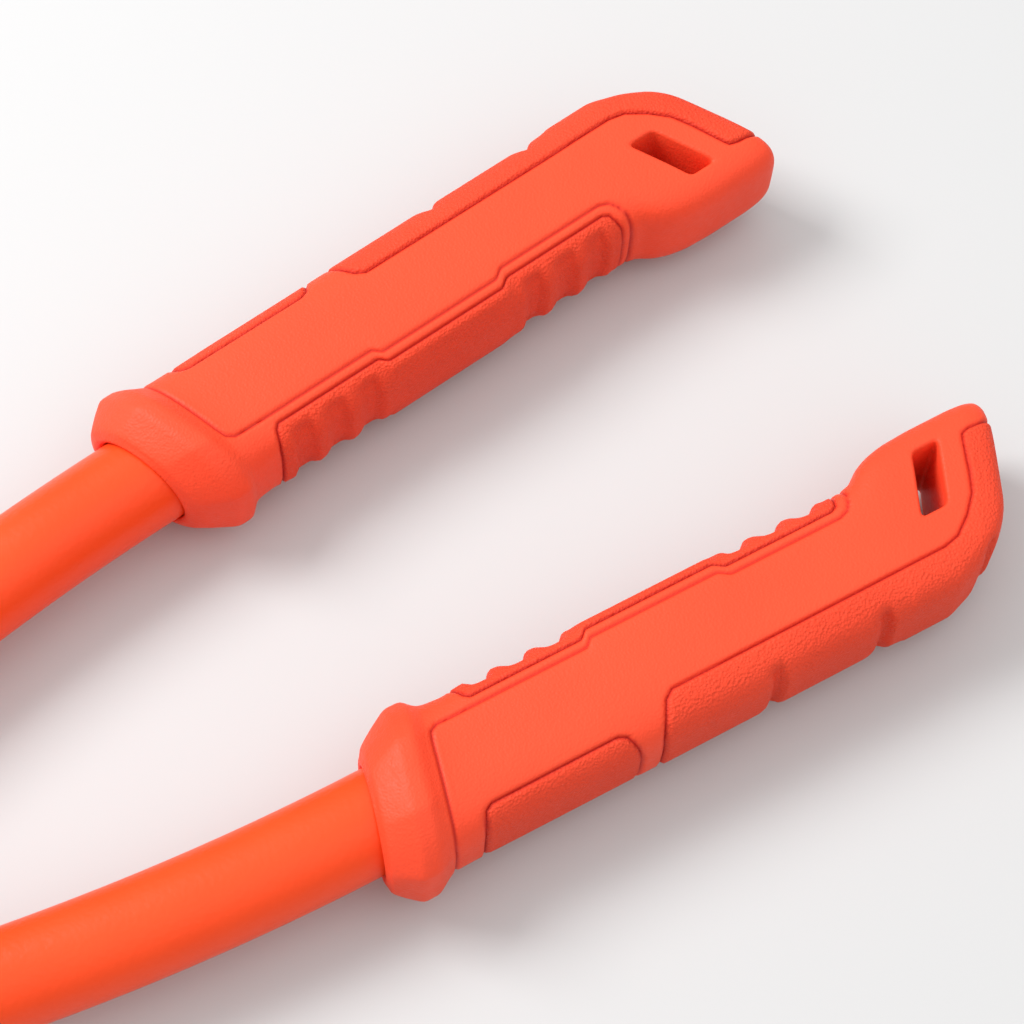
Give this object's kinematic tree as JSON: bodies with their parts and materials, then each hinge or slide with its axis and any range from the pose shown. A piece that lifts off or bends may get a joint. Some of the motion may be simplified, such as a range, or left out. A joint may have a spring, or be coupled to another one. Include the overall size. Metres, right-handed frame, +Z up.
{
  "type": "bolt cutter",
  "caption": "Two-handled bolt cutter with compound jaws, bent tube handles and moulded orange grips with hooked, slotted pommels; shown closed.",
  "frame": {"origin": "under the middle of the tool's box, on the surface that it lies on", "axes": "+X from the jaws to the grips, +Y to the right-hand handle of a person who holds the grips, +Z up from the surface that the tool lies on"},
  "size_m": [0.598, 0.183, 0.0434],
  "materials": {
    "black_steel": "satin black coating on steel",
    "forged_steel": "dark oxide on forged steel, bright ground cutting flanks",
    "zinc_steel": "zinc plated",
    "tube_paint": "fine pebbled orange powder coat",
    "grip_body": "satin orange moulding with a fine leather-like grain",
    "grip_pad": "coarse pebbled orange rubber"
  },
  "bodies": {
    "head": {"top_strap": "black_steel", "bottom_strap": "black_steel", "right_jaw_bolt": "zinc_steel", "left_jaw_bolt": "zinc_steel", "right_jaw_nut": "zinc_steel", "left_jaw_nut": "zinc_steel"},
    "right_jaw": {"right_jaw": "forged_steel"},
    "left_jaw": {"left_jaw": "forged_steel"},
    "right_handle": {"right_bracket": "black_steel", "right_link_bolt": "zinc_steel", "right_link_nut": "zinc_steel", "right_stop_screw": "zinc_steel", "right_stop_nut": "zinc_steel", "right_tube": "tube_paint", "right_front_rivet": "zinc_steel", "right_rear_rivet": "zinc_steel", "right_grip": "grip_body", "right_finger_pad": "grip_pad", "right_front_palm_pad": "grip_pad", "right_rear_palm_pad": "grip_pad"},
    "left_handle": {"left_bracket": "black_steel", "left_link_bolt": "zinc_steel", "left_link_nut": "zinc_steel", "left_stop_screw": "zinc_steel", "left_stop_nut": "zinc_steel", "left_tube": "tube_paint", "left_front_rivet": "zinc_steel", "left_rear_rivet": "zinc_steel", "left_grip": "grip_body", "left_finger_pad": "grip_pad", "left_front_palm_pad": "grip_pad", "left_rear_palm_pad": "grip_pad", "centre_bolt": "zinc_steel", "centre_nut": "zinc_steel", "top_washer": "zinc_steel", "bottom_washer": "zinc_steel"}
  },
  "joints": [
    {"name": "left_jaw_pivot", "type": "hinge", "parent": "head", "child": "left_jaw", "pos_m": [-0.25299, -0.014, 0.0217], "axis": [0, 0, 1], "range_deg": [0, 11.94]},
    {"name": "left_handle_pivot", "type": "hinge", "parent": "left_jaw", "child": "left_handle", "pos_m": [-0.19412, -0.02558, 0.0217], "axis": [0, 0, -1], "range_deg": [0, 49.94]},
    {"name": "right_jaw_pivot", "type": "hinge", "parent": "head", "child": "right_jaw", "pos_m": [-0.25299, 0.014, 0.0217], "axis": [0, 0, -1], "range_deg": [0, 11.94]},
    {"name": "right_handle_pivot", "type": "hinge", "parent": "right_jaw", "child": "right_handle", "pos_m": [-0.19412, 0.02558, 0.0217], "axis": [0, 0, 1], "range_deg": [0, 49.94]}
  ],
  "couplings": [
    {"joint": "left_jaw_pivot", "follows": "left_handle_pivot", "ratio": 0.23914},
    {"joint": "right_jaw_pivot", "follows": "left_handle_pivot", "ratio": 0.23914},
    {"joint": "right_handle_pivot", "follows": "left_handle_pivot", "ratio": 1}
  ]
}
